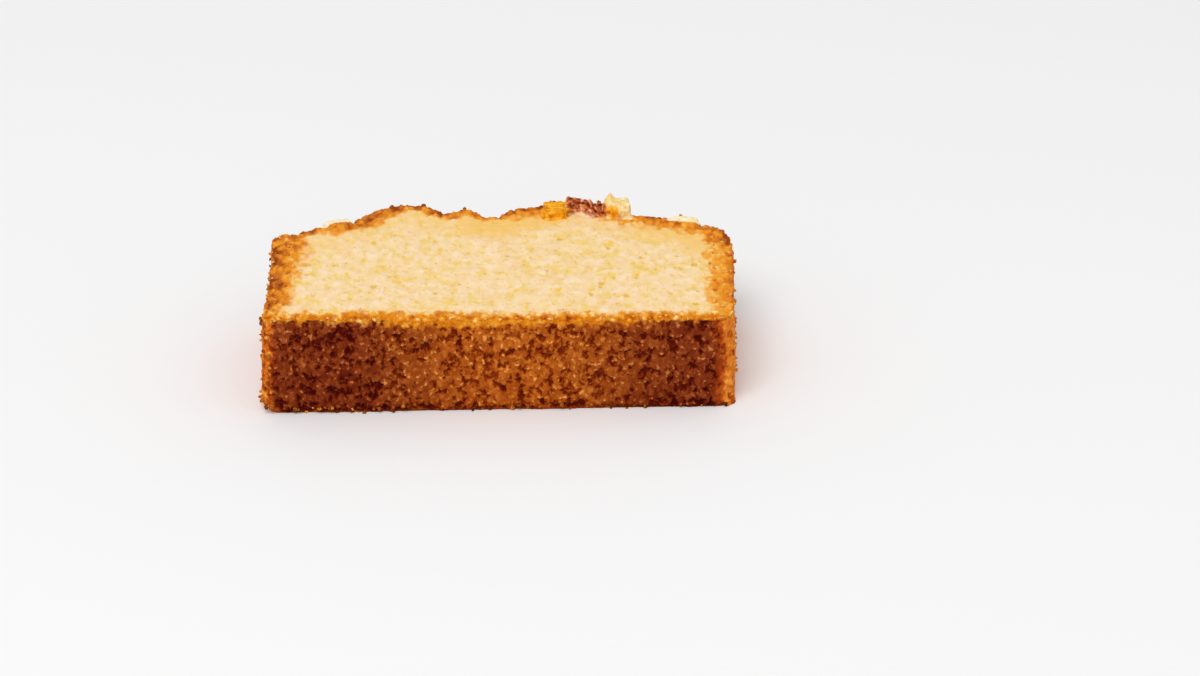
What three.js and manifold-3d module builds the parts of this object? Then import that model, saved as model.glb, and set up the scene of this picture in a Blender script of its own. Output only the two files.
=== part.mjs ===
// A slice of pound cake, cut across a loaf and lying on one of its two cut faces.
//
// Millimetres, +Z up. +X runs across the loaf, +Y runs from its flat tin-baked base to its
// risen crown, and +Z runs through the slice, from the cut face that it rests on to the one
// that faces up. The origin is the centre of the slice's bounding box, on the resting face.
//
// The slice is one solid. A box with a fine grid on every face is bent into the section of
// the loaf: rounded tin corners, walls that flare, and a crown that rises to two lips on
// either side of a split. Low relief then roughens the baked walls and the upper cut face,
// and five coarse crumbs are joined on along the crown.

import * as THREE from "three";
import { mergeVertices } from "three/addons/utils/BufferGeometryUtils.js";
import Module from "manifold-3d";

// ---- Driving dimensions, in millimetres ---------------------------------------------------

const BASE_WIDTH = 110; // across the tin's floor
const FLARE = { left: 0.3, right: 2.8 }; // how far each wall leans out at the shoulders
const HOLLOW = { left: 0.9, right: 0.0 }; // how far each wall draws in halfway up
const SPREAD = { left: 1.3, right: 0.6 }; // how far each wall settles out low in the slice
const WORN = { left: 2.2, right: 0.6 }; // how much of each wall's resting edge is worn off
const WORN_HEIGHT = 2.2; // how far up the slice that wear reaches
const THICKNESS = { left: 24.4, right: 22.8 }; // a hand-cut slice is a slight wedge
const SHOULDER_HEIGHT = { left: 49.5, right: 54.0 }; // base to crown, at the walls
const DOME_RISE = 15.0; // of the crown over the line between its shoulders

// The section's corners, each a quarter ellipse: across the loaf and up the loaf.
const CORNERS = {
  baseLeft: { across: 3.0, up: 3.0 },
  baseRight: { across: 4.0, up: 4.0 },
  shoulderLeft: { across: 3.0, up: 4.5 },
  shoulderRight: { across: 6.0, up: 12.0 },
};

// What the crown does beside its dome. Each is a smooth hump, or a hollow where it is
// negative, at a place across the loaf and with the half-width over which it fades.
const CROWN_FORMS = [
  { name: "outer left fold", across: -49.0, reach: 4.5, rise: -2.6 },
  { name: "left fold", across: -39.0, reach: 5.0, rise: -3.2 },
  { name: "left lip", across: -23.0, reach: 9.0, rise: 3.8 },
  { name: "left hollow", across: -13.0, reach: 3.8, rise: -4.6 },
  { name: "split", across: -1.8, reach: 4.6, rise: -6.4 },
  { name: "right hollow", across: 7.0, reach: 4.0, rise: -1.4 },
  { name: "right lip", across: 14.0, reach: 9.0, rise: 1.2 },
  { name: "right fold", across: 34.0, reach: 3.6, rise: -1.7 },
  { name: "right edge", across: 46.0, reach: 6.0, rise: -1.6 },
];
const SPLIT_WANDER = 2.2; // how far the split drifts sideways through the slice
const SPLIT_WAVES = 0.4; // turns of that drift, from the upper cut face to the lower one

// Height and spacing of the relief on each kind of face. A face is the upper cut face or part
// of the crown where its normal leans at least this much towards +Z or towards +Y.
const RELIEF = {
  crown: { depth: 0.8, spacing: 7.0 },
  wall: { depth: 0.4, spacing: 4.0 },
  cut: { depth: 0.25, spacing: 9.0 },
};
const CUT_LEAN = 0.9;
const CROWN_LEAN = 0.4;

// Grid cells along X, Y and Z.
const CELLS = { x: 52, y: 28, z: 11 };

// Coarse crumbs that cling to the crown, each with its middle's place across the loaf, its
// distance in from the crown's edge, its height over the upper cut face, and its own size.
const CRUMBS = [
  { name: "golden", across: 14.2, inward: 6.2, lift: 0.1, size: [6.6, 6.6, 5.2], turn: 0.2 },
  { name: "brown", across: 22.0, inward: 2.8, lift: -0.2, size: [9.2, 5.2, 4.4], turn: -0.2 },
  { name: "pale", across: 29.8, inward: 2.4, lift: 0.5, size: [7.2, 5.6, 6.0], turn: 0.3 },
  { name: "left chip", across: -39.2, inward: 0.2, lift: -0.4, size: [6.8, 4.4, 3.0], turn: 0.3 },
  { name: "right chip", across: 46.0, inward: 0.7, lift: -1.0, size: [8.0, 4.4, 3.0], turn: -0.2 },
];
const CRUMB_DETAIL = 2; // how often a crumb's icosahedron is divided
const CRUMB_BULGE = 4; // 2 is an ellipsoid, and more is closer to a block
const CRUMB_ROUGHNESS = 0.2; // share of a crumb's radius by which its surface wanders
const CRUMB_WAVES = 2.4; // lattice cells of that wandering in a crumb's radius

const SECTION_HEIGHT = Math.max(SHOULDER_HEIGHT.left, SHOULDER_HEIGHT.right);
const WELD = 1e-3; // points closer than this are one

const wasm = await Module();
wasm.setup();

// ---- Small tools --------------------------------------------------------------------------

const mix = THREE.MathUtils.lerp;
const ease = THREE.MathUtils.smootherstep;

// A fixed value from -1 to 1 for each corner of a lattice.
function cornerValue(i, j, k) {
  const mixed = Math.sin(i * 127.1 + j * 311.7 + k * 74.7) * 43758.5453;
  return 2 * (mixed - Math.floor(mixed)) - 1;
}

// Smooth noise from -1 to 1, the same on every run, with one hump for each lattice cell.
function noise(x, y, z) {
  const cell = [x, y, z].map(Math.floor);
  const part = [x, y, z].map((value, axis) => ease(value - cell[axis], 0, 1));
  let sum = 0;
  for (let corner = 0; corner < 8; corner++) {
    const step = [corner & 1, (corner >> 1) & 1, (corner >> 2) & 1];
    const weight = step.reduce((w, s, axis) => w * (s ? part[axis] : 1 - part[axis]), 1);
    sum += weight * cornerValue(cell[0] + step[0], cell[1] + step[1], cell[2] + step[2]);
  }
  return sum;
}

// A coarse and a fine noise together, at a spacing in millimetres.
function roughness(p, spacing) {
  const coarse = noise(p.x / spacing, p.y / spacing, p.z / spacing);
  const fine = noise((2 * p.x) / spacing + 7, (2 * p.y) / spacing, (2 * p.z) / spacing);
  return (2 * coarse + fine) / 3;
}

// The geometry with each point stored once, as manifold-3d and smooth normals need it.
function welded(geometry) {
  geometry.deleteAttribute("normal");
  geometry.deleteAttribute("uv");
  return mergeVertices(geometry, WELD);
}

function toSolid(geometry) {
  return new wasm.Manifold(
    new wasm.Mesh({
      numProp: 3,
      vertProperties: geometry.attributes.position.array,
      triVerts: new Uint32Array(geometry.index.array),
    }),
  );
}

function toGeometry(solid) {
  const { vertProperties, triVerts } = solid.getMesh();
  const geometry = new THREE.BufferGeometry();
  geometry.setAttribute("position", new THREE.BufferAttribute(vertProperties, 3));
  geometry.setIndex(new THREE.BufferAttribute(triVerts, 1));
  geometry.computeVertexNormals();
  return geometry;
}

// ---- The section of the loaf --------------------------------------------------------------

// Height of the crown over the base, at x across the loaf and z through the slice. The upper
// cut face has the section as the forms give it, and the split drifts away from it below.
function crownHeight(x, z) {
  const below = 1 - z / THICKNESS.left;
  const along = x + SPLIT_WANDER * below * Math.sin(below * SPLIT_WAVES * 2 * Math.PI);
  const across = along / (BASE_WIDTH / 2);
  const shoulders = mix(SHOULDER_HEIGHT.left, SHOULDER_HEIGHT.right, (across + 1) / 2);
  const dome = DOME_RISE * Math.max(0, 1 - across * across);
  const forms = CROWN_FORMS.reduce((sum, form) => {
    const away = (along - form.across) / form.reach;
    return sum + form.rise * Math.exp(-away * away);
  }, 0);
  return shoulders + dome + forms;
}

function thicknessAt(x) {
  return mix(THICKNESS.left, THICKNESS.right, x / BASE_WIDTH + 0.5);
}

// How far a wall stands from the middle, at a share of the way up and z through the slice.
function halfWidth(share, z, side) {
  const drawnIn = HOLLOW[side] * Math.sin(Math.PI * share);
  const settled = SPREAD[side] * (1 - z / THICKNESS[side]) ** 2;
  const worn = WORN[side] * Math.max(0, 1 - z / WORN_HEIGHT);
  return BASE_WIDTH / 2 + FLARE[side] * share - drawnIn + settled - worn;
}

// Pulls a point of the plain rectangle into the quarter ellipse of the corner it is nearest.
// The square round the corner maps onto the quarter disc, so the grid lines stay in order.
function roundedCorner(point) {
  const side = point.x < 0 ? "Left" : "Right";
  const end = point.y < SECTION_HEIGHT / 2 ? "base" : "shoulder";
  const corner = CORNERS[end + side];
  const towardX = Math.sign(point.x);
  const towardY = end === "base" ? -1 : 1;
  const innerX = towardX * (BASE_WIDTH / 2 - corner.across);
  const innerY = end === "base" ? corner.up : SECTION_HEIGHT - corner.up;
  const a = ((point.x - innerX) * towardX) / corner.across;
  const b = ((point.y - innerY) * towardY) / corner.up;
  if (a <= 0 || b <= 0) return;
  const shrink = Math.max(a, b) / Math.hypot(a, b);
  point.x = innerX + towardX * a * shrink * corner.across;
  point.y = innerY + towardY * b * shrink * corner.up;
}

// Carries a point of the rounded box to its place in the slice.
function bentIntoLoaf(point) {
  const share = point.y / SECTION_HEIGHT;
  const side = point.x < 0 ? "left" : "right";
  const through = point.z * thicknessAt(point.x);
  const x = (point.x / (BASE_WIDTH / 2)) * halfWidth(share, through, side);
  point.set(x, share * crownHeight(x, through), through);
}

// Depth of relief at a point with an outward normal: the resting face stays flat.
function reliefAt(point, normal) {
  const baked = normal.y > CROWN_LEAN ? RELIEF.crown : RELIEF.wall;
  const kind = normal.z > CUT_LEAN ? RELIEF.cut : baked;
  return kind.depth * roughness(point, kind.spacing);
}

function sliceBody() {
  const box = new THREE.BoxGeometry(BASE_WIDTH, SECTION_HEIGHT, 1, CELLS.x, CELLS.y, CELLS.z);
  box.translate(0, SECTION_HEIGHT / 2, 1 / 2);
  const geometry = welded(box);
  const places = geometry.attributes.position;
  const point = new THREE.Vector3();
  for (let i = 0; i < places.count; i++) {
    point.fromBufferAttribute(places, i);
    roundedCorner(point);
    bentIntoLoaf(point);
    places.setXYZ(i, point.x, point.y, point.z);
  }
  geometry.computeVertexNormals();
  const normals = geometry.attributes.normal;
  const normal = new THREE.Vector3();
  for (let i = 0; i < places.count; i++) {
    point.fromBufferAttribute(places, i);
    normal.fromBufferAttribute(normals, i);
    const resting = point.z < WELD;
    if (resting && normal.z < -CUT_LEAN) continue;
    point.addScaledVector(normal, reliefAt(point, normal));
    if (resting) point.z = 0;
    places.setXYZ(i, point.x, point.y, Math.max(0, point.z));
  }
  geometry.deleteAttribute("normal");
  return toSolid(geometry);
}

// ---- The crumbs on the crown --------------------------------------------------------------

// A ball is swollen towards a block of unit size, roughened, and stretched to its own size.
function crumbBody({ across, inward, lift, size, turn }) {
  const geometry = welded(new THREE.IcosahedronGeometry(1, CRUMB_DETAIL));
  const places = geometry.attributes.position;
  const point = new THREE.Vector3();
  for (let i = 0; i < places.count; i++) {
    point.fromBufferAttribute(places, i);
    const at = point.clone().multiplyScalar(CRUMB_WAVES);
    const wander = noise(at.x + across, at.y, at.z);
    const powers = point.toArray().reduce((sum, v) => sum + Math.abs(v) ** CRUMB_BULGE, 0);
    const reach = powers ** (1 / CRUMB_BULGE);
    point.multiplyScalar((0.5 * (1 + CRUMB_ROUGHNESS * wander)) / reach);
    places.setXYZ(i, point.x, point.y, point.z);
  }
  geometry.scale(...size);
  geometry.rotateZ(turn);
  const top = thicknessAt(across);
  geometry.translate(across, crownHeight(across, top) - inward, top + lift);
  return toSolid(geometry);
}

// ---- The slice ----------------------------------------------------------------------------

function cakeSlice() {
  const solid = CRUMBS.map(crumbBody).reduce((whole, crumb) => whole.add(crumb), sliceBody());
  const geometry = toGeometry(solid);
  geometry.computeBoundingBox();
  const middle = geometry.boundingBox.getCenter(new THREE.Vector3());
  const bake = new THREE.MeshStandardMaterial({
    color: new THREE.Color("#d9a25a"),
    roughness: 0.85,
    metalness: 0,
  });
  const mesh = new THREE.Mesh(geometry, bake);
  mesh.name = "cake_slice";
  mesh.position.set(-middle.x, -middle.y, 0);
  return mesh;
}

const slice = new THREE.Group();
slice.add(cakeSlice());

export default slice;
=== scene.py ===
# %% [markdown]
# # A slice of pound cake
# The slice was cut across a loaf and lies on one cut face. Its browned, flat base faces the
# front, its pale cut face looks up, and the risen crown with its split is at the back. The
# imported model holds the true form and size, so it is loaded first and everything is built
# around it, in metres. Small sizes are easier to read in millimetres, so `MM` converts them.

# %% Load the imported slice
import math
import random

import bmesh
import bpy
import numpy
from mathutils import Euler, Matrix, Vector, noise
from mathutils.bvhtree import BVHTree


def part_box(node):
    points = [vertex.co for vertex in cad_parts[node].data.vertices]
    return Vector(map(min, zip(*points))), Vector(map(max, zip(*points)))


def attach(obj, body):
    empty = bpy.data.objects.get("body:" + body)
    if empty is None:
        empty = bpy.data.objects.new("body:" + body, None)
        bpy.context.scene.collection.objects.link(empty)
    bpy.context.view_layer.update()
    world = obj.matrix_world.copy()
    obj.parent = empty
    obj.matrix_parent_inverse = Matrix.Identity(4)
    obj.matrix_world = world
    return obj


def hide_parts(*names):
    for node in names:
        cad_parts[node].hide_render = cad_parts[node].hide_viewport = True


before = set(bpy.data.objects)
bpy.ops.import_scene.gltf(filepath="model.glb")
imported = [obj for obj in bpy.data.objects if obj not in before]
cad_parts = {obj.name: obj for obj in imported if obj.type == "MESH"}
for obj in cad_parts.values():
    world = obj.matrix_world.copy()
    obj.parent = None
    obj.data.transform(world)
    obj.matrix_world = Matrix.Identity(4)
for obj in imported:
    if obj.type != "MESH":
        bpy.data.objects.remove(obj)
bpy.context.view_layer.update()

MM = 0.001
slice_low, slice_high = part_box("cake_slice")
print("slice, mm:", [round(side / MM, 1) for side in slice_high - slice_low])

# %% [markdown]
# ## Values that vary over a surface
# Both Geometry Nodes and materials work out a value at every point from a chain of nodes.
# Wiring such chains by hand hides the maths, so a `Field` wraps one output socket and lets
# Python's operators add the Math nodes: `0.6 - 0.4 * pores` then reads as a formula. The same
# formula can shape the mesh in Geometry Nodes and colour it in a material, which keeps the
# dark of a pore exactly where the pore is.

# %% A field and the recipe that adds nodes
class Field:
    """One output of a node, with arithmetic."""

    def __init__(self, recipe, socket):
        self.recipe, self.socket = recipe, socket

    def __getitem__(self, name):
        return self.recipe.output(self.socket.node, name)

    def __add__(self, other):
        return self.recipe.maths("ADD", self, other)

    def __sub__(self, other):
        return self.recipe.maths("SUBTRACT", self, other)

    def __rsub__(self, other):
        return self.recipe.maths("SUBTRACT", other, self)

    def __mul__(self, other):
        return self.recipe.maths("MULTIPLY", self, other)

    def __truediv__(self, other):
        return self.recipe.maths("DIVIDE", self, other)

    def __pow__(self, other):
        return self.recipe.maths("POWER", self, other)

    def __gt__(self, other):
        return self.recipe.maths("GREATER_THAN", self, other)

    def __lt__(self, other):
        return self.recipe.maths("LESS_THAN", self, other)

    __radd__ = __add__
    __rmul__ = __mul__


def is_vector(value):
    """Whether a value is a colour or a vector: a tuple, or a socket of that kind."""
    if isinstance(value, Field):
        return value.socket.type in ("VECTOR", "RGBA")
    return isinstance(value, (tuple, list, Vector))


class Recipe:
    """Adds nodes to the tree of a material or of a Geometry Nodes group."""

    def __init__(self, tree):
        self.tree = tree
        tree.nodes.clear()

    def find(self, sockets, name):
        """The socket with that number, identifier or name."""
        if isinstance(name, int):
            return sockets[name]
        for socket in sockets:
            if socket.identifier == name:
                return socket
        return next(s for s in sockets if s.name == name and s.enabled)

    def output(self, node, name):
        return Field(self, self.find(node.outputs, name))

    def node(self, kind, settings, sockets, output=0):
        """Adds a node, gives it its settings, fills its sockets and returns one output."""
        node = self.tree.nodes.new(kind)
        for name, value in settings.items():
            if name == "stops":
                self.fill_ramp(node.color_ramp, value)
            else:
                setattr(node, name, value)
        for name, value in sockets.items():
            socket = self.find(node.inputs, name)
            if isinstance(value, Field):
                self.tree.links.new(value.socket, socket)
            elif socket.type == "RGBA":
                socket.default_value = (*value, 1.0)
            else:
                socket.default_value = value
        return self.output(node, output) if node.outputs else node

    def fill_ramp(self, ramp, stops):
        """Gives a colour ramp its stops, each a place from 0 to 1 and a colour."""
        while len(ramp.elements) < len(stops):
            ramp.elements.new(1.0)
        for element, (place, colour) in zip(ramp.elements, stops):
            element.position = place
            element.color = (*colour, 1.0)

    def maths(self, operation, first, second):
        """A Math node, or a Vector Math node where a side is a vector."""
        if not (is_vector(first) or is_vector(second)):
            return self.node("ShaderNodeMath", {"operation": operation}, {0: first, 1: second})
        if operation == "MULTIPLY" and not is_vector(second):
            scale = {"operation": "SCALE"}
            return self.node("ShaderNodeVectorMath", scale, {"Vector": first, "Scale": second})
        settings = {"operation": operation}
        return self.node("ShaderNodeVectorMath", settings, {0: first, 1: second})

    def pick(self, operation, fields):
        """Compares several values at each point, one after another."""
        best = fields[0]
        for field in fields[1:]:
            best = self.maths(operation, best, field)
        return best

    def largest(self, *fields):
        return self.pick("MAXIMUM", fields)

    def smallest(self, *fields):
        return self.pick("MINIMUM", fields)

    def off(self, field, line):
        """How far a value is from a line, on either side of it."""
        return self.maths("ABSOLUTE", field - line, 0)

    def ease(self, field, low, high, at_low=0.0, at_high=1.0):
        """0 at low and 1 at high, with a smooth start and end."""
        settings = {"interpolation_type": "SMOOTHSTEP"}
        sockets = {"Value": field, "From Min": low, "From Max": high,
                   "To Min": at_low, "To Max": at_high}
        return self.node("ShaderNodeMapRange", settings, sockets)

    def fall(self, field, near, far):
        """1 at near and 0 at far: the reverse of ease, for what fades with distance."""
        return self.ease(field, near, far, at_low=1.0, at_high=0.0)

    def blend(self, share, first, second):
        """The first colour where share is 0 and the second where it is 1."""
        sockets = {"Factor_Float": share, "A_Color": first, "B_Color": second}
        return self.node("ShaderNodeMix", {"data_type": "RGBA"}, sockets, "Result_Color")

    def parts(self, vector):
        """The X, Y and Z of a vector."""
        split = self.node("ShaderNodeSeparateXYZ", {}, {"Vector": vector})
        return split["X"], split["Y"], split["Z"]

    def ramp(self, field, stops):
        """A colour for each value from 0 to 1."""
        return self.node("ShaderNodeValToRGB", {"stops": stops}, {"Fac": field})


print("fields and recipes are ready")

# %% [markdown]
# ## What cake is made of, as fields
# Baked batter is a sponge. Where it touched the tin it is a crust of small pits between
# thin ridges; where the knife went through it is a fine, soft crumb with pores of different
# sizes. Voronoi cells give pits, because each cell has a middle and its own random numbers,
# and a noise that bends the coordinates first takes the regular look away. Each function
# takes a place in millimetres, so a size in the code is a size on the cake.

# %% Noise, pits and the textures of the cake
RISE = 0.6  # the batter rose as it baked, so its pores are longer that way
SPLIT_LINE = -2.6  # where the crown tore open, in mm across the slice


def wander(recipe, place, size, detail=2.0, seed=0):
    """Smooth noise round 0, between about -1 and 1, with lumps of that size in mm."""
    moved = place + (31.7 * seed, 17.3 * seed, 7.9 * seed)
    sockets = {"Vector": moved, "Scale": 1 / size, "Detail": detail}
    return (recipe.node("ShaderNodeTexNoise", {}, sockets) - 0.5) * 4


def bent(recipe, place, size, reach, seed=0):
    """The place moved about by noise, so that what is drawn there is less regular."""
    moved = place + (11.3 * seed, 5.9 * seed, 23.1 * seed)
    sockets = {"Vector": moved, "Scale": 1 / size, "Detail": 1.0}
    colour = recipe.node("ShaderNodeTexNoise", {}, sockets, "Color")
    return place + (colour - (0.5, 0.5, 0.5)) * (2 * reach)


def cells(recipe, place, spacing, seed):
    """The distance to the middle of the Voronoi cell here, and two of its random numbers."""
    moved = place + (13.7 * seed, 29.3 * seed, 3.1 * seed)
    sockets = {"Vector": moved, "Scale": 1 / spacing}
    distance = recipe.node("ShaderNodeTexVoronoi", {}, sockets, "Distance")
    first, second, _ = recipe.parts(distance["Color"])
    return distance, first, second


def pits(recipe, place, spacing, radius, share, seed=0):
    """1 inside a pit and 0 outside: a share of the cells has one, each its own size."""
    distance, own_size, own_luck = cells(recipe, place, spacing, seed)
    reach = (own_size * 0.9 + 0.55) * (radius / spacing)
    return recipe.fall(distance, reach * 0.55, reach) * (own_luck < share)


def granules(recipe, place, spacing, seed=0):
    """Rounded grains side by side: 0 in the gaps and up to 1 on a grain, each its own."""
    distance, own_tone, _ = cells(recipe, place, spacing, seed)
    return recipe.fall(distance, 0.2, 0.75) * (own_tone * 0.7 + 0.3)


def tin_crust(recipe, place):
    """Height in mm, and lightness from 0 to 1, of a face that baked against the tin."""
    coarse = bent(recipe, place * (1.0, 1.0, 0.85), 1.1, 0.75, seed=1)
    holes = pits(recipe, coarse, 3.6, 1.05, 0.4, seed=1)
    grit = granules(recipe, coarse, 1.25, seed=2)
    gaps = recipe.ease(wander(recipe, coarse, 1.7, 3.0, seed=9), 0.0, 0.45)
    sparks = recipe.ease(wander(recipe, place, 1.2, 2.0, seed=3), 0.2, 0.8)
    clots = wander(recipe, place, 5.0, 1.0, seed=8)
    # the lightness is partly the crust's own colour and partly painted light: painted shade darkens
    # the pits and gaps, and painted highlights lighten the grains and sparks
    height = grit * 0.3 + sparks * 0.2 - holes * 0.5 - gaps * 0.4 + 0.05
    light = 0.46 + grit * 0.4 + sparks * 0.42 - gaps * 0.39 + clots * 0.12
    return height, light - holes * 0.3


def soft_crumb(recipe, place):
    """Height in mm, and lightness from 0 to 1, of a face that the knife opened."""
    risen = place * (1.0, RISE, 1.0)
    loose = bent(recipe, risen, 2.0, 0.8, seed=5)
    holes = pits(recipe, loose, 3.2, 0.6, 0.4, seed=5)
    pores = pits(recipe, loose, 2.0, 0.45, 0.5, seed=6)
    lumps = wander(recipe, risen, 1.9, 3.0, seed=7)
    height = lumps * 0.14 - holes * 0.3 - pores * 0.17
    light = 0.6 + lumps * 0.46 - holes * 0.42 - pores * 0.38
    return height, light


def rim_grains(recipe, place):
    """Height in mm, and lightness round 0, of the crumbly rim between crust and crumb."""
    loose = bent(recipe, place * (1.0, RISE, 1.0), 1.8, 0.8, seed=13)
    beads = granules(recipe, loose, 1.5, seed=13)
    lumps = wander(recipe, loose, 2.0, 4.0, seed=14)
    return beads * 0.4 + lumps * 0.1 - 0.1, beads * 0.66 + lumps * 0.5 - 0.26


def crown_skin(recipe, place):
    """Height in mm, and lightness from 0 to 1, of the dry skin that rose above the tin."""
    loose = bent(recipe, place, 1.6, 0.6, seed=41)
    blisters = pits(recipe, loose, 2.6, 0.55, 0.45, seed=42)
    grain = granules(recipe, loose, 1.1, seed=43)
    wrinkles = wander(recipe, place, 5.0, 3.0, seed=13)
    height = wrinkles * 0.3 + grain * 0.2 - blisters * 0.3 - 0.05
    light = 0.36 + wrinkles * 0.2 + grain * 0.36 - blisters * 0.35
    return height, light


def split_open(recipe, place):
    """1 where the crown tore open as it rose, and 0 on its skin."""
    across, _, _ = recipe.parts(place)
    edge = wander(recipe, place, 6.0, 4.0, seed=44) * 4.6
    return recipe.fall(recipe.off(across, SPLIT_LINE) + edge, 1.8, 5.4)


print("textures are ready")

# %% [markdown]
# ## Coarse crumbs along the crown
# Bits of the crust broke off under the knife and cling to the back edge: a golden block, dark
# flecks of the skin, a pale block with a spike, a small golden ball and two pale chips. Each
# starts as a ball or a block of bmesh faces that noise makes craggy. They are joined to the
# slice before it is remeshed, so they grow out of it as one skin.

# %% Make the coarse crumbs
def craggy(name, size, centre, turn=(0, 0, 0), bulge=5.0, rough=0.12, seed=0):
    """A block with worn corners: a bulge of 2 is a ball, and more is closer to a cube."""
    shape = bmesh.new()
    bmesh.ops.create_cube(shape, size=2.0)
    bmesh.ops.subdivide_edges(shape, edges=shape.edges[:], cuts=11, use_grid_fill=True)
    for vert in shape.verts:
        # pull the cube's surface in to where |x|, |y| and |z| to the power of bulge add up to 1
        reach = sum(abs(value) ** bulge for value in vert.co) ** (1 / bulge)
        vert.co /= reach
        at = vert.co * 1.7 + Vector((seed * 9.1, seed * 3.3, 0))
        lump = noise.noise(at) + 0.5 * noise.noise(at * 2.3) + 0.4 * noise.noise(at * 4.9)
        vert.co *= 1 + rough * lump
    shape.transform(Matrix.LocRotScale(Vector(centre) * MM, Euler(turn),
                                       Vector(size) * (MM / 2)))
    mesh = bpy.data.meshes.new(name)
    shape.to_mesh(mesh)
    shape.free()
    crumb = bpy.data.objects.new(name, mesh)
    bpy.context.scene.collection.objects.link(crumb)
    return crumb


TOP = 23.3  # height of the cut face beside the crown, in mm
DROP = 0.0145  # how much lower it lies for each mm to the right
FLECKS = 14

golden_crumbs = [
    craggy("golden block", (5.8, 6.0, 5.4), (13.2, 27.4, TOP + 0.4), (0, 0, 0.2),
           bulge=8, rough=0.13, seed=1),
    craggy("golden ball", (2.3, 2.3, 2.4), (27.7, 24.4, TOP + 1.8), bulge=2.2, seed=2),
]
burnt_crumbs = [
    craggy("brown bed", (8.2, 4.6, 3.6), (20.9, 29.4, TOP - 0.2), (0, 0, -0.2),
           bulge=5, rough=0.25, seed=3),
]
flecks = random.Random(5)
for index in range(FLECKS):
    across = 17.0 + 8.8 * (index + flecks.random()) / FLECKS
    size = [flecks.uniform(1.0, 2.8) for _ in range(3)]
    place = (across, flecks.uniform(26.0, 31.5), TOP + flecks.uniform(0.9, 2.2))
    turn = [flecks.uniform(0, math.pi) for _ in range(3)]
    fleck = craggy("brown fleck", size, place, turn, bulge=6, rough=0.25, seed=index + 10)
    burnt_crumbs.append(fleck)
pale_crumbs = [
    craggy("pale block", (5.6, 5.2, 6.4), (29.4, 27.2, TOP + 0.4), (0, 0, 0.1),
           bulge=9, rough=0.08, seed=4),
    craggy("pale spike", (3.8, 2.2, 6.2), (27.2, 28.6, TOP + 2.6),
           bulge=1.3, rough=0.1, seed=6),
    craggy("left chip", (6.8, 2.6, 2.2), (-40.4, 21.6, TOP + 0.7), (0, 0, 0.3),
           bulge=6, rough=0.2, seed=7),
    craggy("right chip", (6.8, 2.6, 2.2), (45.6, 23.6, TOP - 0.6), (0, 0, -0.2),
           bulge=6, rough=0.2, seed=8),
]
crumb_kinds = {"golden": golden_crumbs, "burnt": burnt_crumbs, "pale": pale_crumbs}
print("coarse crumbs:", {kind: len(made) for kind, made in crumb_kinds.items()})


def joined(name, objects):
    """One object that holds copies of all their faces."""
    shape = bmesh.new()
    for source in objects:
        shape.from_mesh(source.data)
    mesh = bpy.data.meshes.new(name)
    shape.to_mesh(mesh)
    shape.free()
    whole = bpy.data.objects.new(name, mesh)
    bpy.context.scene.collection.objects.link(whole)
    return whole


crumb_guides = {kind: joined(f"{kind} crumbs", made) for kind, made in crumb_kinds.items()}
cake = joined("cake", [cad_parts["cake_slice"], *crumb_guides.values()])

# %% [markdown]
# ## An even skin of small faces
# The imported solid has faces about 2 mm wide, too coarse for pores of 1 mm. A voxel Remesh
# wraps the slice and its crumbs in one closed skin of small, even quads, and a Smooth
# modifier takes the steps of the voxels and the flat facets away. Subdivision would also add
# faces, but it would leave the crumbs as separate shells pushed into the slice.

# %% Remesh the slice
VOXEL = 0.28 * MM
SMOOTHING_PASSES = 8
BLUR_PASSES = 16
SHARE_OF_FACES_KEPT = 0.31

wrap = cake.modifiers.new("wrap", "REMESH")
wrap.mode = "VOXEL"
wrap.voxel_size = VOXEL
wrap.use_smooth_shade = True
soften = cake.modifiers.new("soften", "SMOOTH")
soften.iterations = SMOOTHING_PASSES
soften.factor = 0.5


def applied(thing):
    """Replaces an object's mesh by what its modifiers make of it."""
    graph = bpy.context.evaluated_depsgraph_get()
    mesh = bpy.data.meshes.new_from_object(thing.evaluated_get(graph))
    thing.modifiers.clear()
    thing.data = mesh


applied(cake)
print("faces after the remesh:", len(cake.data.polygons))

# %% [markdown]
# ## Relief from Geometry Nodes
# Geometry Nodes can move every point by a field, all at once. Before the points move, the
# tree stores what the material needs later as named attributes: the place before the relief,
# how deep the point lies under the baked skin, and which kind of face it is on. The depth
# comes from Geometry Proximity, the distance to the nearest face of a part of the mesh, and
# that part is separated by the way its faces look.

# %% Tools for the relief tree
relief_tree = bpy.data.node_groups.new("cake relief", "GeometryNodeTree")
relief_tree.interface.new_socket("Cake", in_out="INPUT", socket_type="NodeSocketGeometry")
relief_tree.interface.new_socket("Cake", in_out="OUTPUT", socket_type="NodeSocketGeometry")
relief = Recipe(relief_tree)
incoming = relief.node("NodeGroupInput", {}, {})
position = relief.node("GeometryNodeInputPosition", {}, {})
place = position * (1 / MM)
across, up_loaf, height = relief.parts(place)
normal = relief.node("GeometryNodeInputNormal", {}, {})
_, facing_y, facing_z = relief.parts(normal)

# Neighbours that move along very different normals would cross, so the directions are blurred.
around = {"Value": normal, "Iterations": BLUR_PASSES}
blurred = relief.node("GeometryNodeBlurAttribute", {"data_type": "FLOAT_VECTOR"}, around, "Value")
outward = relief.node("ShaderNodeVectorMath", {"operation": "NORMALIZE"}, {0: blurred})


def distance_to(shape):
    """How far a point is from a shape, in mm."""
    sockets = {"Target": shape, "Source Position": position}
    return relief.node("GeometryNodeProximity", {}, sockets, "Distance") * (1 / MM)


def only_where(chosen):
    """The faces of the slice on which a field is over a half."""
    sockets = {"Geometry": incoming, "Selection": chosen > 0.5}
    return relief.node("GeometryNodeSeparateGeometry", {"domain": "FACE"}, sockets)


def kept(geometry, name, value):
    """The geometry with a field stored on its points under that name."""
    kind = "FLOAT_VECTOR" if is_vector(value) else "FLOAT"
    settings = {"data_type": kind, "domain": "POINT"}
    sockets = {"Geometry": geometry, "Name": name, "Value": value}
    return relief.node("GeometryNodeStoreNamedAttribute", settings, sockets)


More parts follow.
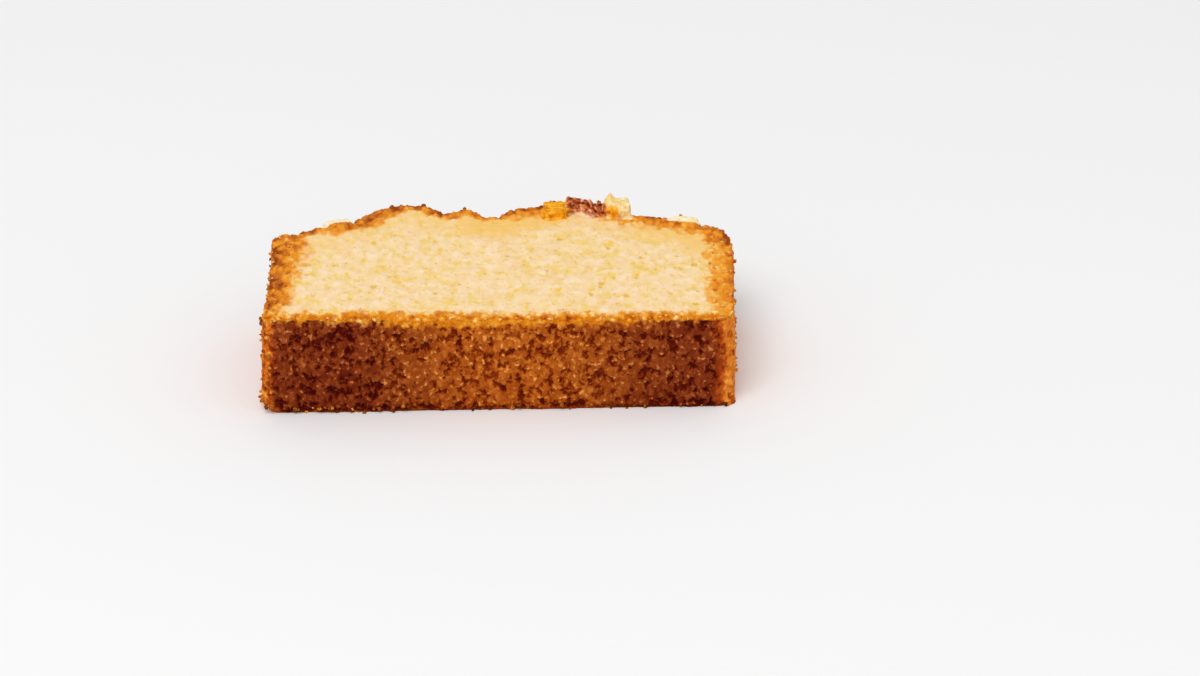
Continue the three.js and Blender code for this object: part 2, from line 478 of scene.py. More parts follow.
def packed(x, y, z):
    """Three fields as one vector."""
    return relief.node("ShaderNodeCombineXYZ", {}, {"X": x, "Y": y, "Z": z})


print("nodes of the relief so far:", len(relief_tree.nodes))

# %% [markdown]
# ## Where each kind of face is
# The way a point faces tells what it is: up or down is a cut face, to the front is the base
# that stood on the tin's floor, to the back is the crown, and the rest are the side walls.
# Eased thresholds let one kind run into the next round the corners. The crumbs are told
# apart by how near their own guide shapes are.

# %% Work out the kinds of face
NEARLY_LEVEL = (0.55, 0.85)  # how far a face looks up or down: 1 is straight up
BASE_BEFORE = -25.0  # where each wall can be, in mm
SIDES_BEYOND = 45.0
CROWN_BEHIND = 5.0

cut = relief.ease(facing_z, *NEARLY_LEVEL)
resting = relief.ease(facing_z * -1, *NEARLY_LEVEL)
wall = 1 - cut - resting
level = relief.largest((1 - facing_z * facing_z) ** 0.5, 0.05)
lean = facing_y / level
base = wall * relief.ease(lean * -1, 0.5, 0.85)
crown = wall * relief.ease(lean, 0.25, 0.6)
side = wall - base - crown

tints = []
for guide in crumb_guides.values():
    info = relief.node("GeometryNodeObjectInfo", {}, {"Object": guide}, "Geometry")
    tints.append(relief.fall(distance_to(info), 0.35, 0.9))
golden, burnt, pale = tints
on_crumb = relief.largest(golden, burnt, pale)

# Depths are measured from the slice's own walls, not from the crumbs that stand above them.
plain = 1 - on_crumb
top_here = TOP + 0.4 - across * DROP
own_wall = plain * (height < top_here)
far_across = relief.off(across, 0.0)
under_base = distance_to(only_where(base * own_wall * (up_loaf < BASE_BEFORE)))
under_side = distance_to(only_where(side * own_wall * (far_across > SIDES_BEYOND)))
under_crown = distance_to(only_where(crown * own_wall * (up_loaf > CROWN_BEHIND)))
below_cut = distance_to(only_where(cut * plain))
under_skin = relief.smallest(under_base, under_side, under_crown)
print("depths measured from the base, the side walls, the crown and the cut faces")

# %% [markdown]
# ## Raise and sink the surface
# Each kind of face gets its own relief, and every height here is in millimetres. The tin crust
# is deeply pitted, the cut face has fine pores, the crown is a skin with soft wrinkles, and the
# edges that the knife left are ragged. The resting face only gets dents, because its points may
# not go below the table. A sculpted mesh could look the same, but a formula can be changed and
# run again, and the material can repeat it.

# %% Add up the relief
# the cut face: soft crumb, grainy towards the skin, and calmer at the lip over the base
crumb_height, _ = soft_crumb(relief, place)
torn = wander(relief, place, 6.0, 2.0, seed=11) * 0.18
rim_height, _ = rim_grains(relief, place)
band = relief.fall(under_skin, 3.5, 7.0)
lip = relief.fall(under_base, 0.3, 2.4)
cut_height = (crumb_height + torn + rim_height * band) * (1 - lip * 0.7)

# the walls: tin crust in front and at the sides, and at the back a skin with an open split
tin_height, _ = tin_crust(relief, place)
skin_height, _ = crown_skin(relief, place)
split = split_open(relief, place)
rough = crumb_height * 1.6 + wander(relief, place, 2.6, 3.0, seed=45) * 0.45 - 0.6
crown_height = skin_height * (1 - split) + rough * split
under_rim = 1 - relief.fall(below_cut, 0.8, 3.4) * 0.85
walls_height = ((base + side) * tin_height + crown * crown_height) * under_rim

# the edges: torn along the cut, nibbled at the foot, most of all towards the left
near_edge = relief.largest(cut * relief.fall(under_skin, 0.4, 2.6),
                           wall * relief.fall(below_cut, 0.4, 2.6))
ragged = near_edge * (wander(relief, place, 1.3, 2.0, seed=15) * 0.5 - 0.15)
nibbled = wall * relief.fall(height, 0.4, 1.8) * (relief.fall(across, 20.0, 45.0) * 0.8 + 0.2)
ragged_foot = nibbled * (wander(relief, place, 2.4, 2.0, seed=16) * 0.7 - 0.4)

# the coarse crumbs: each kind as rough as it looks, the burnt ones sagging to the right
crumb_relief = wander(relief, place, 1.2, 3.0, seed=17) * (burnt * 0.2 - golden * 0.06 + 0.16)
shrunk = golden * 0.65 + pale * 0.15
sagged = burnt * relief.ease(across, 21.5, 24.0) * relief.largest(height - TOP, 0.0) * 0.4

# the right front foot: filled out to the right, because the batter filled the tin's corner
right_foot = relief.ease(across, 46.0, 52.0) * relief.fall(up_loaf, -33.0, -27.0)
squared = right_foot * relief.largest(1 - height * 0.5, 0.0) ** 2 * 1.6
sideways = outward * (1.0, 0.0, 0.0)
slant = relief.node("ShaderNodeVectorMath", {"operation": "LENGTH"}, {0: sideways}, "Value")

# all of it together
lift = (cut * cut_height + walls_height) * plain
lift = lift + (ragged + ragged_foot) * plain + (crumb_relief - shrunk) * on_crumb
on_table = relief.ease(height * -1, -0.3, 0.0)
dents = resting * relief.smallest(crumb_height * 0.7, 0.0) * on_table
moved = position + outward * ((lift + dents) * MM)
moved = moved + sideways * (squared / relief.largest(slant, 0.3) * MM)
moved = moved - packed(0.0, 0.0, sagged * MM)
table = packed(-1.0, -1.0, 0.0)  # only its height matters, so the rest is far away
moved = relief.largest(moved, table)
print("nodes of the whole relief:", len(relief_tree.nodes))

# %% [markdown]
# ## Store, move and thin out
# The attributes are stored first and the points move last. The fine quads are then thinned out:
# Decimate takes faces away where the surface is flat and keeps them where it is rough. The
# modifiers are applied, because the finished piece should be a plain mesh of triangles.

# %% Run the relief on the slice
with_rest = kept(incoming, "rest", place)
with_skin = kept(with_rest, "skin", packed(under_base, under_side, under_crown))
with_faces = kept(with_skin, "walls", packed(base, side, crown))
with_cut = kept(with_faces, "cut", cut + resting)
with_rim = kept(with_cut, "below_cut", below_cut)
with_tints = kept(with_rim, "tints", packed(golden, burnt, pale))
shaped = relief.node("GeometryNodeSetPosition", {}, {"Geometry": with_tints, "Position": moved})
relief.node("NodeGroupOutput", {}, {0: shaped})

carve = cake.modifiers.new("carve", "NODES")
carve.node_group = relief_tree
thin = cake.modifiers.new("thin", "DECIMATE")
thin.ratio = SHARE_OF_FACES_KEPT
cake.modifiers.new("triangles", "TRIANGULATE")
applied(cake)
for guide in crumb_guides.values():
    bpy.data.objects.remove(guide)
for made in crumb_kinds.values():
    for crumb in made:
        bpy.data.objects.remove(crumb)
triangles = sum(len(face.vertices) - 2 for face in cake.data.polygons)
print("triangles after the relief:", triangles)
print("attributes:", [a.name for a in cake.data.attributes])

# %% [markdown]
# ## A flat map of the slice
# The finished colours can be baked to a picture, and each face then needs its own spot on it.
# The slice is close to a box, so six flat charts, one for each way a face can look, hold most
# of it at true scale. The places from before the relief lay them out, because there no face
# hides another. The coarse crumbs overhang the slice, so they have charts of their own, and
# the faces that look left or right have one for each crumb.

# %% Lay the faces out, in mm
X, Y, Z = 0, 1, 2
SHEET = 204.0  # the side of the whole map
CHARTS = [
    # the axis that runs to the right, its direction, the axis that runs up, and the shift
    (Z, 1, Y, (118, 37)),  # the left wall
    (Z, -1, Y, (145, 110)),  # the right wall
    (X, 1, Z, (58, 146)),  # the base
    (X, -1, Z, (58, 175)),  # the crown
    (X, -1, Y, (58, 37)),  # the lower cut face
    (X, 1, Y, (58, 110)),  # the upper cut face
    (X, 1, Z, (148, 16)),  # the crumbs' fronts
    (X, -1, Z, (203, 27)),  # their backs
    (X, -1, Y, (203, 0)),  # their undersides
    (X, 1, Y, (148, -18)),  # their tops
]
PAST_SLICE = 4  # how many charts later a crumb's front, back, underside or top is
CRUMB_SIDES = len(CHARTS)  # the first of the charts for the sides of one crumb
BETWEEN_CRUMBS = (0.0, 17.2, 26.2, 37.0)  # across the slice
ROW = 11  # how far apart those charts are
for row in range(len(BETWEEN_CRUMBS) + 1):
    CHARTS.append((Y, -1, Z, (185, 40 + ROW * row)))
    CHARTS.append((Y, 1, Z, (170, 40 + ROW * row)))
LOWER_CUT_BELOW = 3.0
UPPER_CUT_ABOVE = 20.0
HALF_HEIGHT = 12.0
CHIP_SHIFT = 45.0  # the left chip is moved this far, so that it fits beside the others


def numbers(items, name, width):
    """A property of all items of a mesh, one row for each."""
    found = numpy.empty(len(items) * width)
    items.foreach_get(name, found)
    return found.reshape(-1, width)


corners = numbers(cake.data.loops, "vertex_index", 1).astype(int).reshape(-1, 3)
places = numbers(cake.data.attributes["rest"].data, "vector", 3)[corners]
tinted = numbers(cake.data.attributes["tints"].data, "vector", 3)[corners]
looks = numpy.cross(places[:, 1] - places[:, 0], places[:, 2] - places[:, 0])
middles = places.mean(axis=1)
level_with_cut = TOP + 1.2 - middles[:, X] * DROP
crumbly = (tinted.max(axis=(1, 2)) > 0) | (middles[:, Z] > level_with_cut)

# the axis along which a face looks; small faces in pits count with the wall they are in
axis = abs(looks).argmax(axis=1)
on_a_cut = (middles[:, Z] < LOWER_CUT_BELOW) | (middles[:, Z] > UPPER_CUT_ABOVE)
on_a_side = (abs(middles[:, X]) > SIDES_BEYOND) & (looks[:, X] * middles[:, X] > 0)
axis[(axis == Z) & ~on_a_cut] = Y
axis[(axis == X) & ~on_a_side & ~crumbly] = Y

# the chart of that axis and direction, and later ones for the crumbs
outer = numpy.where(crumbly[:, None], looks, middles - (0.0, 0.0, HALF_HEIGHT))
chart = axis * 2 + (numpy.take_along_axis(outer, axis[:, None], 1)[:, 0] > 0)
crumb = numpy.digitize(middles[:, X], BETWEEN_CRUMBS)
later = numpy.where(axis == X, CRUMB_SIDES + 2 * crumb, PAST_SLICE)
chart += numpy.where(crumbly, later, 0)
places[crumbly & (crumb == 0)] += (CHIP_SHIFT, 0.0, 0.0)

spots = numpy.empty((len(places), 3, 2))
for number, (right_axis, direction, up_axis, shift) in enumerate(CHARTS):
    chosen = chart == number
    spots[chosen] = places[chosen][:, :, (right_axis, up_axis)] * (direction, 1) + shift
layout = cake.data.uv_layers.new(name="OFBake")
layout.uv.foreach_set("vector", (spots / SHEET).ravel())
edges = spots[:, 1:] - spots[:, :1]
turned = edges[:, 0, 0] * edges[:, 1, 1] < edges[:, 0, 1] * edges[:, 1, 0]
print("faces on the map:", len(spots), "of crumbs:", crumbly.sum(), "turned over:", turned.sum())

# %% [markdown]
# ## The colours of baking
# Sugar and flour brown from the outside in, so colour follows depth: brown skin, orange,
# gold, then the pale yellow crumb. Colours are written as the eye sees them on a screen and
# turned into linear light, which is what a shader works in.

# %% Colours by name
def linear(red, green, blue):
    """A screen colour from 0 to 255 as linear light."""
    shares = [value / 255 for value in (red, green, blue)]
    return tuple(s / 12.92 if s <= 0.04045 else ((s + 0.055) / 1.055) ** 2.4 for s in shares)


def tones(*stops):
    """The stops of a ramp, from places between 0 and 1 and screen colours."""
    return [(place, linear(*colour)) for place, *colour in stops]


CREAM = linear(249, 217, 163)
BUTTER = linear(245, 209, 124)
MILK = linear(252, 225, 190)
PEACH = linear(250, 210, 164)
HAZE = linear(247, 199, 108)
PORE = linear(232, 188, 88)
YOLK = linear(242, 198, 78)

SIDE_BAND = tones(
    (0.00, 148, 70, 22),
    (0.25, 206, 116, 34),
    (0.50, 236, 147, 38),
    (0.80, 245, 172, 66),
    (1.00, 251, 212, 142),
)
GOLD_BAND = tones(
    (0.00, 140, 56, 8),
    (0.25, 204, 108, 14),
    (0.55, 226, 138, 26),
    (0.80, 242, 168, 54),
    (1.00, 252, 210, 140),
)
DARK_CRUST = tones(
    (0.00, 64, 2, 0),
    (0.25, 96, 20, 1),
    (0.50, 124, 47, 13),
    (0.75, 150, 68, 26),
    (1.00, 200, 120, 64),
)
WARM_CRUST = tones(
    (0.00, 86, 12, 0),
    (0.25, 142, 52, 4),
    (0.50, 174, 84, 19),
    (0.75, 198, 108, 33),
    (1.00, 240, 164, 78),
)
SIDE_CRUST = tones(
    (0.00, 132, 44, 6),
    (0.25, 182, 80, 16),
    (0.50, 211, 108, 29),
    (0.75, 230, 132, 38),
    (1.00, 246, 164, 66),
)
RED_CRUST = tones(
    (0.00, 110, 26, 2),
    (0.50, 172, 66, 10),
    (1.00, 222, 124, 40),
)
CROWN_CRUST = tones(
    (0.00, 104, 40, 12),
    (0.35, 152, 74, 24),
    (0.65, 188, 102, 36),
    (1.00, 226, 152, 72),
)
SPLIT_CRUMB = tones(
    (0.00, 146, 68, 18),
    (0.50, 208, 116, 34),
    (1.00, 242, 174, 82),
)
GOLDEN_CRUMB = tones(
    (0.00, 202, 108, 16),
    (0.45, 242, 162, 26),
    (1.00, 254, 200, 70),
)
# the dark flecks' own browns, with painted highlights of their lit facets at the pale pink end
BURNT_CRUMB = tones(
    (0.00, 62, 20, 8),
    (0.35, 130, 50, 24),
    (0.60, 190, 98, 52),
    (0.80, 228, 146, 104),
    (1.00, 248, 200, 168),
)
PALE_CRUMB = tones(
    (0.00, 234, 196, 110),
    (0.50, 246, 219, 152),
    (1.00, 253, 238, 204),
)
print("cream in linear light:", [round(share, 3) for share in CREAM])

# %% [markdown]
# ## One material for the whole slice
# The material reads the stored attributes and repeats the textures at the place that each
# point had before the relief. The crust, the crumb and the split could be separate materials,
# but they run into one another, and one material can blend them. Only what varies goes through
# nodes; what is the same all over is set on the shader's own sockets.

# %% The material's tree
def material(name):
    """A new material and the recipe of its tree."""
    made = bpy.data.materials.new(name)
    made.use_nodes = True
    return made, Recipe(made.node_tree)


def attribute(recipe, name, output="Vector"):
    """What the mesh stores under that name."""
    return recipe.node("ShaderNodeAttribute", {"attribute_name": name}, {}, output)


cake_material, bake = material("baked cake")
rest = attribute(bake, "rest")
x, y, z = bake.parts(rest)
skin_base, skin_side, skin_crown = bake.parts(attribute(bake, "skin"))
wall_base, wall_side, wall_crown = bake.parts(attribute(bake, "walls"))
tint_golden, tint_burnt, tint_pale = bake.parts(attribute(bake, "tints"))
is_cut = attribute(bake, "cut", "Fac")
from_cut = attribute(bake, "below_cut", "Fac")
crust_height, crust_light = tin_crust(bake, rest)
pore_height, crumb_light = soft_crumb(bake, rest)
_, rim_light = rim_grains(bake, rest)
print("nodes that read the slice:", len(bake.tree.nodes))

# %% [markdown]
# ## The pale cut face
# A cut crumb is cream with patches of butter yellow and a little peach. Its pores are darker,
# because light that enters them comes out yellower, and the thin walls between them are nearly
# white. Plain noise would give clouds. Laying small eased patches over one another, each with
# its own size, gives the fine mottling of a sponge.

# %% Colour the cut face
risen = rest * (1.0, RISE, 1.0)
patches = wander(bake, risen, 3.4, 2.0, seed=21)
blush = wander(bake, risen, 4.5, 2.0, seed=26)
crumb_colour = bake.blend(bake.ease(patches, -0.1, 0.6), CREAM, BUTTER)
crumb_colour = bake.blend(bake.ease(blush, 0.0, 0.7) * 0.6, crumb_colour, PEACH)
crumb_colour = bake.blend(bake.ease(crumb_light, 0.5, 1.0), crumb_colour, MILK)
crumb_colour = bake.blend(bake.fall(crumb_light, 0.0, 0.45), crumb_colour, PORE)
yolk = bake.ease(wander(bake, risen, 2.6, 3.0, seed=22), 0.35, 0.9)
crumb_colour = bake.blend(yolk * 0.85, crumb_colour, YOLK)
dots = bake.ease(wander(bake, risen, 0.9, 2.0, seed=27), 0.3, 0.9)
crumb_colour = bake.blend(dots * 0.5, crumb_colour, PORE)
print("nodes with the cut face:", len(bake.tree.nodes))

# %% [markdown]
# ## The browned band under the skin
# Heat came in through the tin, so the cut face is browned along its edges. The band is wide at
# the side walls, thin along the base and uneven under the crown. Each depth is divided by how
# far the browning reaches there, so 0 is the skin and 1 is where the crumb turns pale, and that
# number picks a colour from a ramp. Noise in the number makes the border crumbly.

# %% Colour the band
grains = wander(bake, risen, 1.1, 2.0, seed=23)
drifts = wander(bake, risen, 3.2, 1.0, seed=24)
on_left = bake.fall(x, -10.0, 10.0)
on_right = 1 - on_left
side_reach = (y + 34.0) * (on_left * 0.06 + 0.045) + 4.9 + on_right * 0.9
side_depth = skin_side / (side_reach - bake.ease(y, 8.0, 19.0) * on_left * 3.0)
base_depth = skin_base / (5.2 - bake.ease(x, -40.0, 10.0) * 0.8)
left_flank = bake.fall(bake.off(x, -32.0), 6.0, 13.0)
torn_skin = bake.fall(bake.off(x, -3.0), 3.0, 8.0)
right_end = bake.ease(x, 28.0, 36.0)
right_half = bake.ease(x, 0.0, 5.0)
crown_reach = left_flank * 3.2 + right_half * 3.0 + right_end * 0.8 - torn_skin + 4.2
crown_depth = skin_crown / crown_reach
uneven = grains * 0.12 + drifts * 0.24
middle = bake.fall(bake.off(x, 3.0), 4.0, 42.0)
speckle = rim_light * 0.62 + drifts * 0.14
lit_side = bake.ease(x, -30.0, 30.0) * 0.38
scorched = bake.ease(y, -8.0, 14.0) * bake.fall(skin_side, 0.8, 3.0) * on_left
scorched = scorched + bake.ease(y, 4.0, 14.0) * bake.fall(skin_side, 0.4, 2.0) * on_right
# painted shade: the golden edge on the cut face is darker within 3 mm of the table
underside = bake.fall(z, 1.0, 3.0) * 0.6
side_light = side_depth * (0.66 - on_right * 0.2) + 0.14 + lit_side + speckle - scorched * 0.4
side_tone = bake.ramp(side_light, SIDE_BAND)
gold_light = 0.52 - middle * 0.1 + on_left * 0.06
gold_tone = bake.ramp(base_depth * 0.4 + gold_light + speckle * 1.3 - underside, GOLD_BAND)
crown_tone = bake.ramp(crown_depth * 0.62 + 0.16 + speckle, SIDE_BAND)

# a golden haze in the crumb below the crown, then the three bands over it
golden_spots = bake.fall(bake.off(x, 2.0), 8.0, 16.0) + right_end * 0.8
hazy = bake.fall(skin_crown + drifts * 2.0, 9.0, 17.0) * (golden_spots * 0.55 + 0.33)
crumb_colour = bake.blend(hazy, crumb_colour, HAZE)
cut_colour = bake.blend(bake.ease(side_depth + uneven, 0.7, 1.1), side_tone, crumb_colour)
cut_colour = bake.blend(bake.ease(crown_depth + uneven, 0.65, 1.1), crown_tone, cut_colour)
golden_edge = bake.ease(base_depth + uneven + grains * 0.16, 0.5, 1.1)
cut_colour = bake.blend(golden_edge, gold_tone, cut_colour)
print("nodes with the band:", len(bake.tree.nodes))

# %% [markdown]
# ## The crusts
# The base is dark and reddish at its ends, where the tin was hottest, and warmer in the middle.
# Towards the table it darkens, with dark bits along its foot, which is painted shade. The side
# walls are orange, the base has a golden edge where the knife opened it, and the crown is a matt
# brown skin that shows orange crumb in its split. The lightness from the crust's own texture picks
# from a ramp, so the pits that are sunk in the mesh are also the darkest, partly by the crust's
# own colour and partly by painted shade.

# %% Colour the crusts
warmth = middle + wander(bake, rest, 7.0, 2.0, seed=25) * 0.2
# painted shade: the base darkens towards the table, most in its lowest 2 mm, in noisy dark bits
foot = bake.fall(z, 1.0, 12.0) * 0.08 + bake.fall(z + grains, 0.0, 2.0) * 0.3
charred = bake.fall(bake.off(x, -40.0), 4.0, 16.0) * 0.06
charred = charred + bake.ease(x, 20.0, 50.0) * 0.04
clots = bake.ease(wander(bake, rest, 2.2, 1.0, seed=33), 0.3, 0.75)
charred = charred + clots * bake.fall(x, -36.0, -14.0) * bake.fall(z, 6.0, 17.0) * 0.3
base_light = crust_light - foot - charred
dark_colour = bake.ramp(base_light, DARK_CRUST)
base_colour = bake.blend(warmth, dark_colour, bake.ramp(base_light, WARM_CRUST))
side_colour = bake.ramp(crust_light + bake.ease(x, 30.0, 50.0) * 0.11, SIDE_CRUST)

# towards its corners the base turns red, then as orange as the side walls
corner_reach = on_right * 0.6 + 1.2
from_corner = skin_side + grains * 0.5
reddened = bake.fall(from_corner, corner_reach, corner_reach * 2.6)
base_colour = bake.blend(reddened, base_colour, bake.ramp(crust_light, RED_CRUST))
corner = bake.fall(from_corner, corner_reach * 0.6, corner_reach * 1.2)
base_colour = bake.blend(corner, base_colour, side_colour)

# the golden edge, deepest in the middle
gold_depth = from_cut + drifts * 0.9 + grains * 0.9 + wander(bake, rest, 9.0, 1.0, seed=32) * 0.5
gold = bake.fall(gold_depth - middle * 1.3 + 0.25, -0.1, 1.5)
gold_wall = bake.ramp(gold_light + 0.06 + speckle + (crust_light - 0.5) * 0.35, GOLD_BAND)
base_colour = bake.blend(gold, base_colour, gold_wall)

# the crown
skin_height, skin_light = crown_skin(bake, rest)
split = split_open(bake, rest)
inside = bake.ramp(crumb_light * 0.5 + speckle * 0.5 + split * 0.3 - 0.05, SPLIT_CRUMB)
crown_colour = bake.blend(bake.ease(split, 0.0, 0.6), bake.ramp(skin_light, CROWN_CRUST), inside)
print("nodes with the crusts:", len(bake.tree.nodes))

# %% [markdown]
# ## The coarse crumbs
# Each kind of coarse crumb has its own ramp, and noise with lumps of about a millimetre picks
# from it, like the crumb of a broken piece. The tints stored on the mesh say where each goes.

# %% Colour the coarse crumbs
crumb_tone = 0.5 + wander(bake, rest, 1.2, 2.0, seed=29) * 0.6
golden_colour = bake.ramp(crumb_tone, GOLDEN_CRUMB)
# the pale pink end of this ramp is a painted highlight
burnt_colour = bake.ramp(crumb_tone, BURNT_CRUMB)
far_out = bake.ease(bake.off(x, 0.0), 33.0, 36.0) * 0.4
pale_colour = bake.ramp(crumb_tone + far_out, PALE_CRUMB)
print("nodes with the coarse crumbs:", len(bake.tree.nodes))

# %% [markdown]
# ## Put the faces together
# The stored kinds of face are the shares of the blends: cut face first, then the side walls, the
# base and the crown, and the crumbs last. Cake is matt, so the shader's sheen is almost off and
# it is rough, most of all on the cut faces. A Bump node adds grain that is finer than the mesh.

# %% Blend the faces and light them
MATT = 0.05  # for the shader's Specular IOR Level, where 0.5 is a usual gloss

colour = bake.blend(wall_side, cut_colour, side_colour)
colour = bake.blend(wall_base, colour, base_colour)
colour = bake.blend(wall_crown, colour, crown_colour)

# the burnt cluster broke open at its front, low and to the left, and is pale inside
torn_open = bake.fall(z, TOP + 0.3, TOP + 1.1) * bake.fall(x, 22.0, 24.0)
torn_open = torn_open * bake.fall(y, 28.5, 29.5)
burnt_colour = bake.blend(torn_open * 0.9, burnt_colour, MILK)
colour = bake.blend(tint_burnt, colour, burnt_colour)
colour = bake.blend(tint_pale, colour, pale_colour)
colour = bake.blend(tint_golden, colour, golden_colour)

fine = wander(bake, rest, 0.45, 3.0, seed=28)
wall_height = crust_height * (1 - wall_crown) + skin_height * wall_crown
bump_height = (wall_height * (1 - is_cut) + pore_height * is_cut) * 0.5 + fine * 0.06
bump = bake.node("ShaderNodeBump", {}, {"Height": bump_height, "Distance": MM, "Strength": 0.6})
shader = bake.node("ShaderNodeBsdfPrincipled", {}, {
    "Base Color": colour,
    "Roughness": 0.66 + is_cut * 0.2,
    "Normal": bump,
    "Specular IOR Level": MATT,
})
bake.node("ShaderNodeOutputMaterial", {}, {"Surface": shader})
cake.data.materials.clear()
cake.data.materials.append(cake_material)
cake.data.name = "cake_slice_baked"
cake.name = "cake_slice_baked"
print("nodes in the whole material:", len(bake.tree.nodes))

# %% [markdown]
# ## Fine crumbs that cling to the slice
# The knife drags crumbs off the soft cake. They stick to its edges and gather along its foot,
# browned ones beside the crust and pale ones on the crumb. Each is a small ball that noise
# makes craggy. A point is drawn in a box beside the slice, and the crumb sits where the slice
# is nearest to that point, sunk a little so that none hangs in the air. All of them are built
# in one mesh, and each stores how far it is baked for the material to read.

# %% Build the fine crumbs
CLING_PLACES = [
    # name, count, low corner, high corner, sizes in mm, how pale
    ("left wall", 60, (-62, -34, 1), (-60, 14, 23), (0.4, 1.1), (0.1, 0.6)),
    ("left front corner", 25, (-60, -37, 1), (-54, -35, 22), (0.4, 1.0), (0.1, 0.6)),
    ("right wall", 40, (59, -30, 6), (61, 14, 23), (0.4, 1.0), (0.3, 0.6)),
    ("front edge", 90, (-55, -35, 24), (54, -32, 25), (0.4, 0.9), (0.4, 0.72)),
    ("left band", 40, (-56, -30, 25), (-50, 14, 26), (0.4, 0.9), (0.4, 0.7)),
    ("right band", 30, (50, -30, 24), (56, 10, 25), (0.4, 0.9), (0.48, 0.72)),
    ("crown edge", 130, (-50, 60, 24), (52, 60, 26), (0.4, 1.1), (0.1, 0.6)),
    ("front foot", 50, (-55, -37, 0), (54, -36, 1), (0.4, 1.0), (0.0, 0.4)),
    ("left foot", 26, (-62, -37, 0), (-30, -35, 1), (0.4, 1.1), (0.0, 0.6)),
    ("crown", 60, (-50, 60, 2), (50, 62, 22), (0.4, 1.1), (0.1, 0.6)),
]


def between(draw, low, high):
    """A drawn point in the box between two corners."""
    return Vector([draw.uniform(a, b) for a, b in zip(low, high)])


def cling(shape, pale_layer, draw, spot, facing, size, pale):
    """Adds one crumb to the shape, half sunk at a spot on the slice."""
    ball = bmesh.ops.create_icosphere(shape, subdivisions=2, radius=0.5)["verts"]
    stretch = [size * draw.uniform(0.5, 1.3) for _ in range(3)]
    turned = Matrix.LocRotScale(None, Euler(between(draw, (0, 0, 0), (6, 6, 6))), stretch)
    shift = between(draw, (0, 0, 0), (90, 90, 90))
    proud = facing * (0.15 * size)
    for vert in ball:
        lump = 1 + 0.9 * noise.noise(vert.co * 3.1 + shift) + 0.4 * noise.noise(vert.co * 7 + shift)
        vert.co = spot + (turned @ (vert.co * lump) + proud) * MM
        vert.co.z = max(vert.co.z, 0.0)
        vert[pale_layer] = pale


clinging = bmesh.new()
pale_layer = clinging.verts.layers.float.new("pale")
surface = BVHTree.FromObject(cake, bpy.context.evaluated_depsgraph_get())
draw = random.Random(11)
for name, count, low, high, sizes, pales in CLING_PLACES:
    for _ in range(count):
        spot, facing, _, _ = surface.find_nearest(between(draw, low, high) * MM)
        size = draw.uniform(*sizes)
        cling(clinging, pale_layer, draw, spot, facing, size, draw.uniform(*pales))
crumb_mesh = bpy.data.meshes.new("cake_crumbs")
clinging.to_mesh(crumb_mesh)
clinging.free()
fine_crumbs = bpy.data.objects.new("cake_crumbs", crumb_mesh)
bpy.context.scene.collection.objects.link(fine_crumbs)
for face in crumb_mesh.polygons:
    face.use_smooth = True
print("fine crumbs:", sum(row[1] for row in CLING_PLACES), "faces:", len(crumb_mesh.polygons))

# %% [markdown]
# ## How far each crumb is baked
# One ramp runs from dark crust to pale crumb, and the number that each crumb stores picks from
# it. A little noise keeps one crumb from being the same colour all over.

# %% Colour the fine crumbs
CRUMB_TONES = tones(
    (0.00, 84, 30, 10),
    (0.30, 172, 84, 26),
    (0.55, 230, 146, 44),
    (0.80, 247, 203, 126),
    (1.00, 252, 232, 196),
)

crumb_material, dust = material("fine crumbs")
where = dust.node("ShaderNodeNewGeometry", {}, {}, "Position") * (1 / MM)
mottled = attribute(dust, "pale", "Fac") + wander(dust, where, 0.5, 2.0, seed=31) * 0.15
speck = dust.node("ShaderNodeBsdfPrincipled", {}, {
    "Base Color": dust.ramp(mottled, CRUMB_TONES),
    "Roughness": 0.85,
    "Specular IOR Level": MATT,
})
dust.node("ShaderNodeOutputMaterial", {}, {"Surface": speck})
crumb_mesh.materials.append(crumb_material)
print("nodes in the crumbs' material:", len(dust.tree.nodes))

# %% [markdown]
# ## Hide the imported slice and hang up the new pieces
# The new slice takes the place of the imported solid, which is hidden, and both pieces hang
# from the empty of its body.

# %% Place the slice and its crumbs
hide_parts("cake_slice")
for piece in (cake, fine_crumbs):
    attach(piece, "root")
print("pieces:", cake.name, "and", fine_crumbs.name)

# %% [markdown]
# ## The floor
# The slice rests on a wide, pale, matt floor, so that nothing but the cake has a strong colour.
# One square is enough.

# %% Lay the floor
FLOOR_REACH = 3.0  # metres from its middle to its edges

floor_mesh = bpy.data.meshes.new("floor")
floor_shape = bmesh.new()
bmesh.ops.create_grid(floor_shape, x_segments=1, y_segments=1, size=FLOOR_REACH)
floor_shape.to_mesh(floor_mesh)
floor_shape.free()
floor = bpy.data.objects.new("floor", floor_mesh)
bpy.context.scene.collection.objects.link(floor)
floor_material, paper = material("pale floor")
pale_and_rough = {"Base Color": (0.92, 0.92, 0.92), "Roughness": 0.9}
matt = paper.node("ShaderNodeBsdfPrincipled", {}, pale_and_rough)
paper.node("ShaderNodeOutputMaterial", {}, {"Surface": matt})
floor_mesh.materials.append(floor_material)
print("floor, m across:", 2 * FLOOR_REACH)

# %% [markdown]
# ## The light
# A white sky lights the cake from all sides, and one large square lamp above the camera's left
# shoulder gives the crust its small shadows. A small lamp would make those shadows hard.

# %% Set up the light
world = bpy.data.worlds.new("studio")
world.use_nodes = True
sky = Recipe(world.node_tree)
glow = sky.node("ShaderNodeBackground", {}, {"Color": (1.0, 1.0, 1.0), "Strength": 0.66})
sky.node("ShaderNodeOutputWorld", {}, {"Surface": glow})
bpy.context.scene.world = world


def softbox(name, place, aim, size, power):
    """A square lamp that shines from a place towards a point."""
    lamp = bpy.data.lights.new(name, "AREA")
    lamp.size = size
    lamp.energy = power
    holder = bpy.data.objects.new(name, lamp)
    holder.location = place
    holder.rotation_euler = (Vector(aim) - Vector(place)).to_track_quat("-Z", "Y").to_euler()
    bpy.context.scene.collection.objects.link(holder)


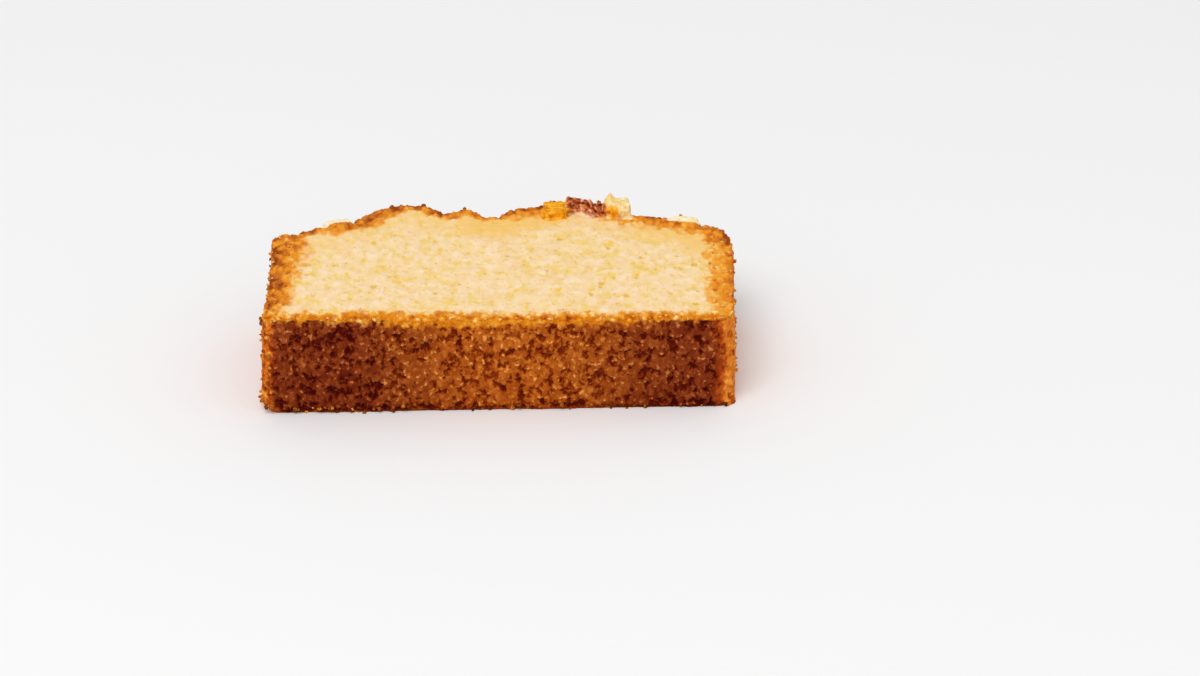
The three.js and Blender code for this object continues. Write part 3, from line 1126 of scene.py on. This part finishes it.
softbox("key", place=(-0.5, -1.3, 1.9), aim=(0, 0, 0.01), size=1.4, power=26.0)
bpy.context.scene.view_settings.view_transform = "Standard"
print("lamps:", len(bpy.data.lights))

# %% [markdown]
# ## The camera
# The camera stands in front of the base, 25 degrees above it, far away and with a long lens, so
# the slice hardly narrows towards the back. It is turned until the point to aim at falls on a
# chosen pixel, which is not the middle of the picture, and its matrix is then put together from
# the directions to the right, up and back.

# %% Place the camera
PICTURE_WIDTH, PICTURE_HEIGHT = 1200, 676
SENSOR_WIDTH = 36.0
ELEVATION = math.radians(25.0)
TURN = math.radians(0.5)
ROLL = math.radians(1.1)
DISTANCE = 800 * MM
FOCAL_PIXELS = 3293.6  # the focal length, measured in pixels of the picture
AIM = Vector((0, 0, 12 * MM))
AIM_PIXEL = (501.6, 303.0)

right = Vector((math.cos(TURN), math.sin(TURN), 0))
away = Vector((-math.sin(TURN) * math.cos(ELEVATION), math.cos(TURN) * math.cos(ELEVATION),
               -math.sin(ELEVATION)))
upward = right.cross(away)
eye = AIM - away * DISTANCE
turned_right = right * math.cos(ROLL) - upward * math.sin(ROLL)
turned_up = right * math.sin(ROLL) + upward * math.cos(ROLL)
away = (away + turned_right * (PICTURE_WIDTH / 2 - AIM_PIXEL[0]) / FOCAL_PIXELS
        - turned_up * (PICTURE_HEIGHT / 2 - AIM_PIXEL[1]) / FOCAL_PIXELS).normalized()
turned_right = (turned_right - away * turned_right.dot(away)).normalized()
turned_up = turned_right.cross(away)

lens = bpy.data.cameras.new("camera")
lens.sensor_width = SENSOR_WIDTH
lens.lens = SENSOR_WIDTH * FOCAL_PIXELS / PICTURE_WIDTH
camera = bpy.data.objects.new("camera", lens)
camera.matrix_world = Matrix((
    (turned_right.x, turned_up.x, -away.x, eye.x),
    (turned_right.y, turned_up.y, -away.y, eye.y),
    (turned_right.z, turned_up.z, -away.z, eye.z),
    (0, 0, 0, 1),
))
bpy.context.scene.collection.objects.link(camera)
bpy.context.scene.camera = camera
print("lens, mm:", round(lens.lens, 1))
